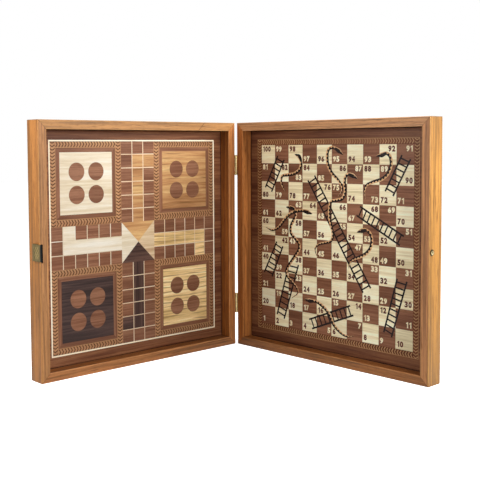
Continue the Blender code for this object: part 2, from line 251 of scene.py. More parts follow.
# How a wood is marked: "pores" and "flecks" say how dark those are, and "fine" how thin its flecks are.
# "across" and "along" say how fine its streaks are, "spread" how soft, and "warp" how far they wander.
# "figure" says how dark its growth lines are, and "tones" how much one piece differs from the next.
WOODS = {
    "walnut_ground": wood_kind(
        (91, 52, 33), (122, 77, 51), (145, 98, 66),
        pore=(63, 35, 22), pores=0.45, tones=0.1,
    ),
    "dark_ground": wood_kind(
        (82, 45, 28), (110, 68, 44), (132, 87, 57),
        pore=(57, 30, 18), pores=0.45, tones=0.1,
    ),
    "walnut": wood_kind(
        (108, 67, 47), (130, 87, 64), (151, 106, 80),
        pore=(77, 45, 30), pores=0.4, tones=0.22,
    ),
    "maple": wood_kind(
        (206, 187, 154), (221, 207, 182), (229, 221, 206),
        pore=(191, 168, 135), pores=0.25, tones=0.06, across=220,
    ),
    "golden": wood_kind(
        (144, 98, 59), (180, 131, 86), (198, 157, 105), (217, 186, 131),
        pore=(118, 78, 47), places=(0.0, 0.35, 0.7, 1.0),
        pores=0.3, tones=0.12, figure=0.75, spread=0.22, across=200, warp=0.011,
    ),
    "gold_wedge": wood_kind(
        (154, 105, 64), (190, 142, 93), (210, 169, 114), (230, 199, 142),
        pore=(126, 84, 51), places=(0.0, 0.35, 0.7, 1.0),
        pores=0.3, tones=0.12, spread=0.22, across=200,
    ),
    "olive": wood_kind(
        (157, 125, 78), (216, 180, 119), (250, 215, 158), (255, 245, 193),
        pore=(153, 118, 76), places=(0.0, 0.3, 0.7, 1.0),
        pores=0.35, tones=0.12, figure=0.75, spread=0.2, across=240, warp=0.009,
    ),
    "ebony": wood_kind(
        (57, 40, 34), (79, 57, 50), (107, 77, 66),
        pore=(42, 30, 25), pores=0.4, tones=0.12,
    ),
    # The home's ebony, darker than the lanes': partly its own tone, partly painted shade
    "ebony_home_tone_and_shade": wood_kind(
        (42, 31, 27), (60, 44, 41), (81, 61, 55),
        pore=(31, 22, 19), pores=0.4, tones=0.12,
    ),
    "square_light": wood_kind(
        (219, 201, 156), (248, 233, 192), (255, 252, 220),
        pore=(196, 174, 126), pores=0.3, tones=0.14, across=260,
    ),
    "square_dark": wood_kind(
        (104, 64, 44), (133, 87, 63), (154, 106, 78),
        pore=(72, 43, 29), pores=0.4, tones=0.22,
    ),
    "ash": wood_kind(
        (189, 154, 119), (215, 189, 152), (227, 205, 173),
        pore=(176, 137, 105), pores=0.25, tones=0.06, across=240,
    ),
    "cell_line": wood_kind(
        (200, 165, 133), (227, 203, 170), (240, 220, 193),
        pore=(186, 147, 118), pores=0.25, tones=0.06, across=240,
    ),
    "band_ground": wood_kind(
        (91, 50, 29), (103, 59, 35), (116, 67, 43),
        pore=(68, 38, 20), pores=0.2, tones=0.3,
    ),
    "band_tan": wood_kind(
        (157, 112, 76), (169, 123, 86), (179, 136, 95),
        pore=(134, 88, 56), pores=0.2, tones=0.3,
    ),
    "band_painted_shade_line": wood_kind(
        (76, 44, 26), (87, 53, 33), (99, 64, 41),
        pore=(56, 32, 18), pores=0.2, tones=0.4,
    ),
    "band_line": wood_kind(
        (159, 116, 75), (171, 127, 85), (181, 140, 96),
        pore=(132, 88, 55), pores=0.2, tones=0.3,
    ),
    # Painted shade for the line round the well's edge
    "painted_shade_line": wood_kind(
        (40, 22, 14), (50, 29, 19), (62, 38, 25),
        pore=(34, 20, 13), pores=0.3, tones=0.5,
    ),
    "figure_dark": wood_kind(
        (84, 43, 36), (98, 49, 41), (114, 61, 49),
        pore=(72, 38, 31), pores=0.2, tones=0.3,
    ),
    "ink": wood_kind(
        (20, 13, 13), (28, 19, 18), (38, 27, 25),
        pore=(16, 10, 10), pores=0.2, tones=0.15,
    ),
    "cream": wood_kind(
        (242, 226, 194), (250, 238, 210), (255, 247, 226),
        pore=(216, 190, 152), pores=0.2, tones=0.06,
    ),
    "snake_light": wood_kind(
        (206, 154, 102), (226, 178, 126), (240, 200, 150),
        pore=(150, 108, 62), pores=0.2, tones=0.2,
    ),
}
made_woods = {}

# The two kinds of feather band, as Face.feather_band takes them
LUDO_BAND = {
    "woods": ("band_tan", "band_painted_shade_line", "band_tan", "band_line"),
    "pointing": (1, -1, -1, 1),
    "thick": 0.34,
}
SNAKES_BAND = {
    "woods": ("band_ground", "band_line", "band_line", "band_ground"),
    "pointing": (-1, -1, -1, 1),
    "thick": 0.36,
}


def inlay_material(kind):
    """The veneer of that kind. Its grain follows the vector that each inlaid piece carries."""
    if kind not in made_woods:
        graph = Graph("veneer_" + kind)
        grain = graph.attribute("grain", "Vector")
        tone = graph.attribute("tone", "Fac")
        made_woods[kind] = finish_wood(graph, *wood_nodes(graph, grain, tone, WOODS[kind]))
    return made_woods[kind]


def new_seed():
    """Where in its wood a piece is cut from, so that neighbours differ."""
    return chance.randrange(400) * 0.05


class Face:
    """One game face: where its points are, and the inlaid pieces on it, by wood.

    inner says that it lies in the well. centre is the middle of its board, in millimetres in the tray."""

    def __init__(self, name, tray, body, inner, centre=(0, 0)):
        self.name = name
        self.tray = tray
        self.body = body
        self.inner = inner
        self.centre = centre
        self.base = "walnut_ground" if tray is LEFT else "dark_ground"
        self.woods = {}

    def point(self, u, v, height):
        """A point of the board in the tray's axes. Heights count from the ground's upper side."""
        u, v = u + self.centre[0], v + self.centre[1]
        if self.inner:
            return (u * MM, (INNER_DEPTH + SUNK - height) * MM, v * MM)
        return (-u * MM, (OUTER_DEPTH - SUNK + height) * MM, v * MM)

    def store(self, wood):
        return self.woods.setdefault(wood, {"points": [], "faces": [], "grain": [], "tone": []})

    def add_points(self, store, outline, height, turn, seed, tone):
        cos, sin = math.cos(turn), math.sin(turn)
        for u, v in outline:
            store["points"].append(self.point(u, v, height))
            store["grain"] += [(u * cos + v * sin) * MM, (v * cos - u * sin) * MM, seed]
            store["tone"].append(tone)

    def plate(self, wood, outline, layer=1, turn=0.0, tone=None, foot=None):
        """A flat piece with that outline, anticlockwise. turn is the way its grain runs."""
        store = self.store(wood)
        seed = new_seed()
        tone = chance.random() if tone is None else tone
        foot = (layer - 1) * LAYER if foot is None else foot
        start = len(store["points"])
        count = len(outline)
        self.add_points(store, outline, layer * LAYER, turn, seed, tone)
        self.add_points(store, outline, foot, turn, seed, tone)
        store["faces"].append(tuple(range(start, start + count)))
        for index in range(count):
            here = start + index
            after = start + (index + 1) % count
            store["faces"].append((here, here + count, after + count, after))

    def sheet(self, wood, points, faces, layer):
        """A printed figure: flat faces with no edge of their own."""
        store = self.store(wood)
        start = len(store["points"])
        self.add_points(store, points, layer * LAYER, 0.0, new_seed(), 0.5)
        store["faces"] += [tuple(start + index for index in face) for face in faces]

    def box(self, wood, u0, v0, u1, v1):
        self.plate(wood, [(u0, v0), (u1, v0), (u1, v1), (u0, v1)])

    def line(self, wood, start, end, width, layer, tone=None):
        """A straight strip with its grain along it."""
        along = (Vector(end) - Vector(start)).normalized()
        side = Vector((-along.y, along.x)) * width / 2
        outline = [Vector(start) - side, Vector(end) - side, Vector(end) + side, Vector(start) + side]
        self.plate(wood, [tuple(p) for p in outline], layer, math.atan2(along.y, along.x), tone)

    def frame(self, wood, half_out, half_in, layer, middle=(0, 0)):
        """A square frame of four mitred strips."""
        strip = [(-half_out, -half_out), (half_out, -half_out), (half_in, -half_in), (-half_in, -half_in)]
        for index in range(4):
            turn = index * math.pi / 2
            self.plate(wood, rotated(strip, turn, middle), layer, turn)

    def disc(self, wood, u, v, radius):
        turns = [2 * math.pi * index / 48 for index in range(48)]
        self.plate(wood, [(u + radius * math.cos(a), v + radius * math.sin(a)) for a in turns], 2)

    def feather_band(self, middle, half_out, width, pitch, woods, pointing, thick):
        """A square frame of feather banding: a row of chevrons between thin lines, let into another wood.

        pitch is the way from chevron to chevron, and thick is each one's share of it.
        woods are the ground, the chevrons, the outer line and the inner line.
        pointing is 1 or -1 for the lower, right, upper and left strip: with or against the way round."""
        ground, chevron, outer, inner = woods
        edge = 0.8
        half_in = half_out - width
        self.frame(ground, half_out, half_in, 1, middle)
        self.frame(outer, half_out, half_out - edge, 2, middle)
        self.frame(inner, half_in + edge, half_in, 2, middle)
        wing = width / 2 - edge
        count = round(2 * half_out / pitch)
        pitch = 2 * half_out / count
        half = thick / 2 * pitch
        reach = half_out - width / 2
        for index in range(4):
            tip = 0.5 * pitch * pointing[index]
            turn = index * math.pi / 2
            # The right and the left strip fill the corners
            limit = half_out - (edge if index % 2 else width)
            for step in range(count):
                place = (step + 0.5) * pitch - half_out - tip / 2
                if abs(place) > limit:
                    continue
                corners = [(place - half, -wing), (place + half, -wing), (place + half + tip, 0)]
                corners += [(place + half, wing), (place - half, wing), (place - half + tip, 0)]
                corners = [(along, across - reach) for along, across in corners]
                self.plate(chevron, rotated(corners, turn, middle), 2, turn)

    def ground(self):
        """The sheet that the rest is let into, and on the inside a dark line of painted shade where the
        rails meet it.
        """
        du, dv = self.centre
        left, right = -PANEL_HALF - du, PANEL_HALF - du
        low, high = -PANEL_HALF - dv, PANEL_HALF - dv
        outline = [(left, low), (right, low), (right, high), (left, high)]
        self.plate(self.base, outline, 0, 0.0, 0.5, foot=-VENEER)
        if self.inner:
            # A dark strip round the well's edge: painted shade where the rails meet the ground
            out, into = 158.2, 156.6
            strip = [(-out, -out), (out, -out), (into, -into), (-into, -into)]
            for index in range(4):
                turn = index * math.pi / 2
                self.plate("painted_shade_line", rotated(strip, turn, (-du, -dv)), 0.3, turn, foot=0)

    def finish(self, node):
        """Makes the face's pieces. The ground stands for the plain veneer of the frame."""
        for wood, store in self.woods.items():
            mesh = bpy.data.meshes.new(f"{self.name}_{wood}")
            mesh.from_pydata(store["points"], [], store["faces"])
            grain = mesh.attributes.new("grain", "FLOAT_VECTOR", "POINT")
            grain.data.foreach_set("vector", store["grain"])
            tone = mesh.attributes.new("tone", "FLOAT", "POINT")
            tone.data.foreach_set("value", store["tone"])
            mesh.materials.append(inlay_material(wood))
            piece = bpy.data.objects.new(mesh.name, mesh)
            bpy.context.scene.collection.objects.link(piece)
            piece.matrix_world = self.tray
            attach(piece, self.body)
            if wood == self.base:
                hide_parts(node)


def digit_shapes():
    """Points, faces and width of the ten digits, in heavy plain type, one unit high."""
    one = ((0.26, 0), (0.48, 0), (0.48, 1), (0.31, 1), (0.07, 0.80), (0.07, 0.62), (0.26, 0.72))
    shapes = {"1": (one, [tuple(range(len(one)))], 0.52)}
    width = 0.65
    for digit in "023456789":
        curve = bpy.data.curves.new("digit", "FONT")
        curve.body = digit
        curve.offset = 0.056
        curve.resolution_u = 3
        holder = bpy.data.objects.new("digit", curve)
        bpy.context.scene.collection.objects.link(holder)
        graph = bpy.context.evaluated_depsgraph_get()
        mesh = bpy.data.meshes.new_from_object(holder.evaluated_get(graph))
        points = [(v.co.x, v.co.y) for v in mesh.vertices]
        faces = [tuple(p.vertices) for p in mesh.polygons]
        low_x, low_y = (min(p[i] for p in points) for i in (0, 1))
        wide, high = (max(p[i] for p in points) - low for i, low in ((0, low_x), (1, low_y)))
        points = [((x - low_x) * width / wide, (y - low_y) / high) for x, y in points]
        shapes[digit] = (points, faces, width)
        bpy.data.objects.remove(holder)
        bpy.data.curves.remove(curve)
        bpy.data.meshes.remove(mesh)
    return shapes


def number(face, wood, text, u, v, height, from_right, shapes):
    """A number whose lower left, or lower right, corner is there."""
    gap = 0.09 * height
    if from_right:
        u -= sum(shapes[digit][2] * height for digit in text) + gap * (len(text) - 1)
    for digit in text:
        points, faces, wide = shapes[digit]
        face.sheet(wood, [(u + x * height, v + y * height) for x, y in points], faces, 2)
        u += wide * height + gap


def ludo_home(face, middle, reach, wood):
    """A player's home: a feather band, a walnut frame, and four spots on the player's wood."""
    band = 9.6
    inner = 41.6
    spot_aside = 15.5
    spot_radius = 12.4
    u, v = middle
    face.feather_band(middle, reach, band, 4.572, **LUDO_BAND)
    face.frame("walnut", reach - band, inner, 1, middle)
    face.box(wood, u - inner, v - inner, u + inner, v + inner)
    for du in (-spot_aside, spot_aside):
        for dv in (-spot_aside, spot_aside):
            face.disc("walnut", u + du, v + dv, spot_radius)


def ludo_arm(face, quarter, cell, wood, wedge_wood):
    """One arm of the cross, drawn as the upper one and turned by so many quarters."""
    turn = quarter * math.pi / 2
    side = cell / 2
    wing = 1.5 * cell
    lane_end = 6.5 * cell
    arm_end = 7.5 * cell
    line_width = 1.15
    line_wood = "maple" if wood == "maple" else "cell_line"
    for column in (-1, 1):
        for row in range(6):
            u, v = column * cell, (2 + row) * cell
            start_cell = column == 1 and row == 4
            left, right, low, high = u - side, u + side, v - side, v + side
            corners = [(left, low), (right, low), (right, high), (left, high)]
            face.plate(wood if start_cell else "walnut", rotated(corners, turn))
    lane = [(-side, wing), (side, wing), (side, lane_end), (-side, lane_end)]
    lane_grain = 0.0 if quarter < 2 else turn + math.pi / 2
    face.plate(wood, rotated(lane, turn), 1, lane_grain, 0.5)
    last = [(-side, lane_end), (side, lane_end), (side, arm_end), (-side, arm_end)]
    face.plate("walnut", rotated(last, turn))
    for u in (-side, side):
        face.line(line_wood, *rotated([(u, wing), (u, arm_end)], turn), line_width, 2)
    for row in range(5):
        v = (2.5 + row) * cell
        runs = [(-wing, wing)]
        if wood == "maple" and row < 4:
            # The pale lane is one piece, with no lines across it
            runs = [(-wing, -side), (side, wing)]
        for low, high in runs:
            face.line(line_wood, *rotated([(low, v), (high, v)], turn), line_width, 2)
    face.plate(wedge_wood, rotated([(0, 0), (wing, wing), (-wing, wing)], turn))


def build_ludo():
    face = Face("ludo", LEFT, "left_tray", True, (-0.75, 0.4))
    face.ground()
    cell = 19.05
    half = 7.5 * cell
    face.frame("cream", half + 0.9, half - 1.0, 3)
    homes = {(-1, 1): "maple", (1, 1): "golden", (-1, -1): "ebony_home_tone_and_shade", (1, -1): "olive"}
    for (side, rise), wood in homes.items():
        ludo_home(face, (side * 4.5 * cell, rise * 4.5 * cell), 3 * cell, wood)
    woods = (("golden", "gold_wedge"), ("maple", "maple"), ("ebony", "ebony"), ("olive", "ash"))
    for quarter, (wood, wedge_wood) in enumerate(woods):
        ludo_arm(face, quarter, cell, wood, wedge_wood)
    face.finish("ludo_face")


# The corner that each cell's number stands in, by row from the bottom and from the left
NUMBER_CORNERS = (
    "BL BL BL BL BR BL TR BL BL BL", "BL TL BL BL BL TL TR BL TL BR", "BL TL TR BL BL BL BL BL BL BR",
    "TL BL TR BL BL BL BL TR BL TR", "BL TR TL BL BL BL TR BR BL BL", "TL BR TR BL BL TR BL BL BL TR",
    "BL BL TR TR BL TR BL TR TR BL", "BL BL BL BL TR TL BL BR BL BL", "TL TR BR TL BL TR TR TL TL BR",
    "TL TL TL BL BL BL BL BL TR TR",
)
# Both rails of each ladder, foot and head, in cells from the lower left corner of the grid, and its rungs
LADDERS = (
    ((0.27, 7.65), (1.20, 9.40), (0.74, 7.42), (1.68, 9.20), 7),
    ((7.03, 2.52), (3.38, 8.12), (7.50, 2.80), (3.84, 8.38), 22),
    ((8.35, 7.70), (9.31, 9.47), (8.81, 7.48), (9.80, 9.28), 7),
    ((9.45, 5.55), (6.82, 6.88), (9.22, 5.10), (6.60, 6.42), 10),
    ((0.17, 2.87), (1.12, 4.66), (0.76, 2.68), (1.58, 4.44), 7),
    ((1.15, 0.62), (2.04, 3.57), (1.67, 0.43), (2.71, 3.51), 10),
    ((3.47, 0.65), (6.22, 1.75), (3.68, 0.18), (6.43, 1.28), 10),
    ((8.31, 0.70), (9.08, 3.45), (8.77, 0.52), (9.64, 3.37), 10),
)
# Points from the head to the tail of each snake, in cells, and the side that its dark back is on
SNAKES = (
    ((
        (2.45, 9.50), (2.77, 9.36), (2.90, 9.04), (2.78, 8.68), (2.38, 8.45), (1.92, 8.38), (1.56, 8.32),
        (1.46, 8.04), (1.56, 7.76), (1.76, 7.46),
    ), 1),
    ((
        (5.74, 9.48), (5.40, 9.72), (5.05, 9.86), (4.76, 9.72), (4.70, 9.30), (4.78, 8.88), (5.04, 8.50),
        (5.40, 8.20), (5.66, 7.88), (5.64, 7.58), (5.42, 7.34),
    ), 1),
    ((
        (7.80, 9.42), (8.14, 9.48), (8.42, 9.56), (8.64, 9.36), (8.68, 8.98), (8.50, 8.56), (8.12, 8.28),
        (7.60, 8.13), (7.22, 7.96), (7.09, 7.66), (7.14, 7.28),
    ), -1),
    ((
        (6.66, 8.27), (6.36, 8.42), (6.04, 8.48), (5.86, 8.28), (5.84, 7.96), (5.88, 7.60), (5.70, 7.24),
        (5.28, 7.12), (4.96, 7.04), (4.86, 6.70), (4.86, 6.24), (4.98, 5.76), (5.08, 5.32), (4.94, 4.98),
        (4.54, 4.86), (4.12, 4.74), (3.88, 4.50), (3.96, 4.20), (4.16, 4.02),
    ), 1),
    ((
        (3.68, 6.34), (3.36, 6.42), (2.98, 6.48), (2.54, 6.42), (2.10, 6.25), (1.74, 5.96), (1.42, 5.62),
        (1.10, 5.38), (0.74, 5.29), (0.30, 5.42),
    ), 1),
    ((
        (1.82, 6.62), (2.16, 6.60), (2.42, 6.52), (2.52, 6.22), (2.36, 5.92), (2.17, 5.60), (2.18, 5.22),
        (2.46, 4.96), (2.74, 4.70), (2.76, 4.38), (2.50, 4.02), (2.12, 3.56), (1.84, 3.14), (1.92, 2.80),
        (2.28, 2.54), (2.60, 2.24), (2.66, 1.96), (2.22, 1.64),
    ), -1),
    ((
        (6.63, 5.56), (6.94, 5.66), (7.22, 5.70), (7.46, 5.54), (7.56, 5.22), (7.48, 4.84), (7.20, 4.52),
        (6.80, 4.32), (6.40, 4.16), (6.16, 3.94), (6.14, 3.62),
    ), -1),
    ((
        (3.16, 1.70), (3.52, 1.67), (3.96, 1.68), (4.42, 1.48), (4.80, 1.18), (4.98, 0.88), (5.16, 0.60),
        (5.44, 0.36), (5.78, 0.18), (6.10, 0.13), (6.44, 0.20),
    ), -1),
)


def number_of(row, column):
    """The number of a square. From 1 at the lower left, the rows run to the right and back in turn."""
    if row % 2:
        return 10 * row + 10 - column
    return 10 * row + column + 1


def build_squares(face, cell):
    """The hundred squares of the grid, and their numbers."""
    half = 5 * cell
    high = 8.0
    from_left, from_right, from_top, from_bottom = 2.2, 2.0, 1.7, 3.0
    shapes = digit_shapes()
    for row in range(10):
        corners = NUMBER_CORNERS[row].split()
        for column in range(10):
            light = (row + column) % 2 == 1
            square, figure = ("square_light", "figure_dark") if light else ("square_dark", "square_light")
            u, v = column * cell - half, row * cell - half
            face.box(square, u, v, u + cell, v + cell)
            upper, right = corners[column][0] == "T", corners[column][1] == "R"
            at_u = u + cell - from_right if right else u + from_left
            at_v = v + cell - from_top - high if upper else v + from_bottom
            number(face, figure, str(number_of(row, column)), at_u, at_v, high, right, shapes)


def ladder(face, foot_a, head_a, foot_b, head_b, rungs):
    """Two rails, from foot to head, and the rungs between them."""
    rail_width, rung_width, rail_past_rung = 2.5, 2.1, 4.2
    for foot, head in ((foot_a, head_a), (foot_b, head_b)):
        face.line("ink", foot, head, rail_width, 3, 0.4)
    end = rail_past_rung / (head_a - foot_a).length
    for index in range(rungs):
        share = end + (1 - 2 * end) * index / (rungs - 1)
        face.line("ink", foot_a.lerp(head_a, share), foot_b.lerp(head_b, share), rung_width, 3, 0.3)


def build_snakes():
    face = Face("snakes_and_ladders", RIGHT, "right_tray", True, (0.0, 1.0))
    face.ground()
    cell = 26.95
    half = 5 * cell
    band = 8.6
    face.feather_band((0, 0), half + band, band, 4.206, **SNAKES_BAND)
    build_squares(face, cell)
    corner = Vector((half, half))
    for *ends, rungs in LADDERS:
        ladder(face, *(Vector(p) * cell - corner for p in ends), rungs)
    for points, back in SNAKES:
        snake(face, [Vector(p) * cell - corner for p in points], back)
    face.finish("snakes_and_ladders_face")


def smooth_run(points, pieces):
    """Points along a smooth curve through those points."""
    padded = [2 * points[0] - points[1]] + points + [2 * points[-1] - points[-2]]
    run = []
    for before, start, end, after in zip(padded, padded[1:], padded[2:], padded[3:]):
        straight = end - before
        squared = 2 * before - 5 * start + 4 * end - after
        cubed = 3 * start - before - 3 * end + after
        for index in range(pieces):
            t = index / pieces
            run.append(start + (straight * t + squared * t * t + cubed * t ** 3) / 2)
    return run + [points[-1]]


def snake(face, points, back):
    """A plain snake of two woods: a pale belly and a dark scaly back, from its head to its thin tail."""
    line = smooth_run(points, 14)
    run = [0.0]
    for before, after in zip(line, line[1:]):
        run.append(run[-1] + (after - before).length)
    total = run[-1]
    sides = []
    for index in range(len(line)):
        ahead = (line[min(index + 1, len(line) - 1)] - line[max(index - 1, 0)]).normalized()
        sides.append(Vector((-ahead.y, ahead.x)) * back)
    neck = 17
    tooth_pitch = 5.2
    eye_back, eye_aside, eye_long, eye_wide = 6.5, 0.9, 0.6, 0.5
    # Distances from the nose, and half the body's width there
    stations = (
        (0, 0.6), (4, 1.9), (9, 3.3), (13, 2.9), (neck, 2.3), (30, 2.4),
        (0.6 * total, 2.4), (0.85 * total, 1.7), (total, 0.4),
    )

    def width(distance):
        """Half the body: the head, the neck behind it, the thickest part, and the tail."""
        for (low, wide), (high, next_wide) in zip(stations, stations[1:]):
            if distance <= high and high > low:
                share = (distance - low) / (high - low)
                return wide + (next_wide - wide) * share * share * (3 - 2 * share)
        return 0.22

    def ribbon(wood, edges, layer):
        """A strip between two lines that are given in shares of the body's half width."""
        count = len(line)
        strip = []
        for low_or_high in (0, 1):
            for centre, across, distance in zip(line, sides, run):
                strip.append(tuple(centre + across * width(distance) * edges(distance)[low_or_high]))
        faces = [(i, count + i, count + i + 1, i + 1) for i in range(count - 1)]
        if back < 0:
            faces = [tuple(reversed(face_points)) for face_points in faces]
        face.sheet(wood, strip, faces, layer)

    def scales(distance):
        """The dark back, which has an edge of teeth behind the neck."""
        tooth = abs((distance / tooth_pitch) % 1 - 0.5) * 2
        return (1.0, (0.30 - 1.1 * tooth) if distance > neck else -0.62)

    ribbon("snake_light", lambda distance: (1.0, -1.0), 3.4)
    ribbon("ink", scales, 3.7)
    nose, ahead = line[0], (line[0] - line[4]).normalized()
    across = Vector((-ahead.y, ahead.x))
    eye = nose - ahead * eye_back + across * back * eye_aside
    ring = []
    for index in range(8):
        angle = index * math.pi / 4
        length, width_here = eye_long * math.cos(angle), eye_wide * math.sin(angle)
        ring.append(tuple(eye + ahead * length + across * width_here))
    face.sheet("snake_light", ring, [tuple(range(8))], 3.9)


def build_chess():
    face = Face("chess", LEFT, "left_tray", False)
    face.ground()
    cell = 31.0
    half = 4 * cell
    band_out = half + 12.0
    face.feather_band((0, 0), band_out, 9.6, 4.57, **LUDO_BAND)
    face.frame("cream", band_out + 1.5, band_out, 2)
    face.frame("cream", half + 1.6, half, 2)
    for row in range(8):
        for column in range(8):
            light = (row + column) % 2 == 1
            u, v = column * cell - half, row * cell - half
            face.box("maple" if light else "walnut", u, v, u + cell, v + cell)
    face.finish("chess_face")


def build_backgammon():
    face = Face("backgammon", RIGHT, "right_tray", False)
    face.ground()
    bar = 11.0
    half = 141.8
    band_out = 148.4
    point_foot, point_tip = 141.4, 26.0
    face.frame("cream", band_out + 1.6, band_out, 2)
    face.feather_band((0, 0), band_out, 8.6, 4.206, **SNAKES_BAND)
    face.line("cream", (0, -half), (0, half), 1.2, 2)
    pitch = (half - bar / 2) / 6
    for side in (-1, 1):
        face.line("cream", (side * bar / 2, -half), (side * bar / 2, half), 1.0, 2)
        for index in range(6):
            u = side * (bar / 2 + (index + 0.5) * pitch)
            low, high = u - pitch / 2 + 0.4, u + pitch / 2 - 0.4
            for rise in (-1, 1):
                wood = "maple" if (index + (rise > 0) + (side > 0)) % 2 else "ebony"
                points = [(low, rise * point_foot), (high, rise * point_foot), (u, rise * point_tip)]
                if rise > 0:
                    points.reverse()
                face.plate(wood, points, 1, math.pi / 2)
    face.finish("backgammon_face")


def rail_material(name, tray, lies, seed, tint, painted_rim_shading, painted_wall_shading, seam=None):
    """Solid wood, with its grain along the rail, in a tint that is partly painted light and shade. The rim
    and the inner wall carry painted light and shade as tints of their own.

    lies says that the rail is a level one. seam is where a slanting joint crosses it."""
    graph = Graph(name)
    local = graph.in_tray(tray)
    side, deep, rise = graph.split(local)
    along, cross = (side, rise) if lies else (rise, side)
    grain = graph.node("CombineXYZ", {0: along, 1: cross, 2: graph.plus(deep, seed)}).outputs[0]
    dark = scaled_colour(tint, 0.60, 0.60, 0.60)
    light = scaled_colour(tint, 1.34, 1.34, 1.34)
    pore = scaled_colour(tint, 0.32, 0.26, 0.2)
    # The pale colour of the rim's edges: wear and a painted highlight
    pale_marks_and_highlights = scaled_colour(tint, 1.55, 1.8, 2.2)
    kind = {
        "stops": ((0.0, dark), (0.5, tint + (1,)), (1.0, light)), "pore_colour": pore, "pores": 0.5,
        "flecks": 0.75, "tones": 0.0, "across": 340, "along": 8, "spread": 0.12, "fine": 480,
        "gloss": 0.5, "bump": 0.4,
    }
    colour, rough, normal = wood_nodes(graph, grain, 0.5, kind)
    reach = graph.size_of(cross)
    # The rim, and the wall between the rim and the panel, each with its painted light and shade
    rim = graph.minus(1.0, graph.span(deep, 0.0003, 0.0012))
    colour = graph.mix(rim, colour, graph.mix(1.0, colour, painted_rim_shading + (1,), "MULTIPLY"))
    wall = graph.times(graph.span(reach, 0.1580, 0.1575), graph.span(deep, 0.0002, 0.0010))
    colour = graph.mix(wall, colour, graph.mix(1.0, colour, painted_wall_shading + (1,), "MULTIPLY"))
    # The rim's two edges are painted pale in patches: partly wear, partly a painted highlight where the
    # eased edges catch the light
    wear_and_highlight = 0.0
    for edge in (RIM_INSIDE, RIM_OUTSIDE):
        apart = graph.distance(graph.minus(reach, edge), deep)
        wear_and_highlight = graph.math("ADD", wear_and_highlight, graph.span(apart, 0.0015, 0.0005), clamp=True)
    # The mitres
    corner = graph.size_of(graph.minus(graph.size_of(along), reach))
    colour = graph.mix(graph.span(corner, 0.0005, 0.0002, 0.0, 0.6), colour, pore)
    if seam:
        slant = graph.minus(along, graph.minus(cross, RIM_MIDDLE))
        apart = graph.size_of(graph.minus(slant, seam))
        colour = graph.mix(graph.span(apart, 0.0009, 0.0004, 0.0, 0.85), colour, pore)
    patchy = graph.noise(graph.scaled(local, (60, 60, 60)), 3)
    wear_and_highlight = graph.times(wear_and_highlight, graph.span(patchy, 0.3, 0.65, 0.2, 0.75))
    colour = graph.mix(wear_and_highlight, colour, pale_marks_and_highlights)
    return finish_wood(graph, colour, rough, normal, 0.25)


def brass_material(name, colour, roughness, dull=0.5, marks=None):
    """Drawn brass: fine lines, dull patches and small pits. marks says where it is pale, as cut lines and
    painted highlights, and where it is painted dark as shade.
    """
    graph = Graph(name)
    coords = graph.node("TexCoord").outputs["Object"]
    lines = graph.noise(graph.scaled(coords, (900, 900, 9000)), 2)
    patches = graph.noise(graph.scaled(coords, (120, 120, 120)), 4, 0.6)
    pits = graph.span(graph.noise(graph.scaled(coords, (1400, 1400, 1400)), 1), 0.66, 0.74)
    dark = scaled_colour(colour, 0.45, 0.45, 0.45)
    shown = graph.mix(graph.span(patches, 0.35, 0.75, 0, dull), colour + (1,), dark)
    shown = graph.mix(graph.times(pits, 0.5), shown, dark)
    rough = graph.span(lines, 0.3, 0.7, roughness - 0.06, roughness + 0.08)
    rough = graph.plus(rough, graph.span(patches, 0.4, 0.8, 0, 0.12))
    height = graph.minus(graph.times(lines, 0.5), pits)
    if marks:
        pale_marks_and_highlights, painted_black_shade = marks(graph, coords)
        # Pale cut lines and painted highlights, then painted shade
        shown = graph.mix(pale_marks_and_highlights, shown, scaled_colour(colour, 2.1, 2.1, 2.1))
        shown = graph.mix(painted_black_shade, shown, (0.006, 0.007, 0.007, 1))
        height = graph.minus(height, pale_marks_and_highlights)
    graph.put(graph.shader.inputs["Base Color"], shown)
    graph.shader.inputs["Metallic"].default_value = 1.0
    graph.put(graph.shader.inputs["Roughness"], rough)
    bump = graph.node("Bump", {"Strength": 0.3, "Distance": 0.00004, "Height": height})
    graph.put(graph.shader.inputs["Normal"], bump.outputs[0])
    return graph.material


def flap_marks(graph, coords):
    """A lattice cut into the middle of the clasp's flap, and painted shadow that makes its lip nearly
    black.
    """
    middle_y, middle_z = 0.1600, 0.170
    cuts_to_the_metre = 210
    y, z = graph.split(coords)[1:]
    along = graph.minus(y, middle_y)
    rise = graph.minus(z, middle_z)
    cuts = 0.0
    for lean in (0.75, -0.75):
        slant = graph.plus(graph.times(rise, lean), along)
        step = graph.math("FRACT", graph.times(slant, cuts_to_the_metre))
        near = graph.size_of(graph.minus(step, 0.5))
        cuts = graph.larger(cuts, graph.span(near, 0.13, 0.07))
    wide = graph.span(graph.size_of(along), 0.0053, 0.0050)
    high = graph.span(graph.size_of(rise), 0.0078, 0.0075)
    # The lip: painted shadow under its curl
    lip = graph.span(y, 0.1522, 0.1518)
    return graph.times(cuts, graph.times(wide, high)), lip


def stud_marks(graph, coords):
    """The stud's crown, lit up as a painted highlight, and painted shade in its dimple and round its foot.
    """
    stud_depth = 0.0055
    deep, rise = graph.split(graph.in_tray(RIGHT))[1:]
    apart = graph.distance(graph.minus(deep, stud_depth), rise)
    # Painted highlight on the crown
    crown = graph.times(graph.span(apart, 0.0010, 0.0014), graph.span(apart, 0.0027, 0.0022))
    # Painted shade in the dimple and round the foot
    dimple = graph.span(apart, 0.0010, 0.0007, 0, 0.85)
    foot = graph.span(apart, 0.0029, 0.0034, 0, 0.9)
    return crown, graph.larger(dimple, foot)


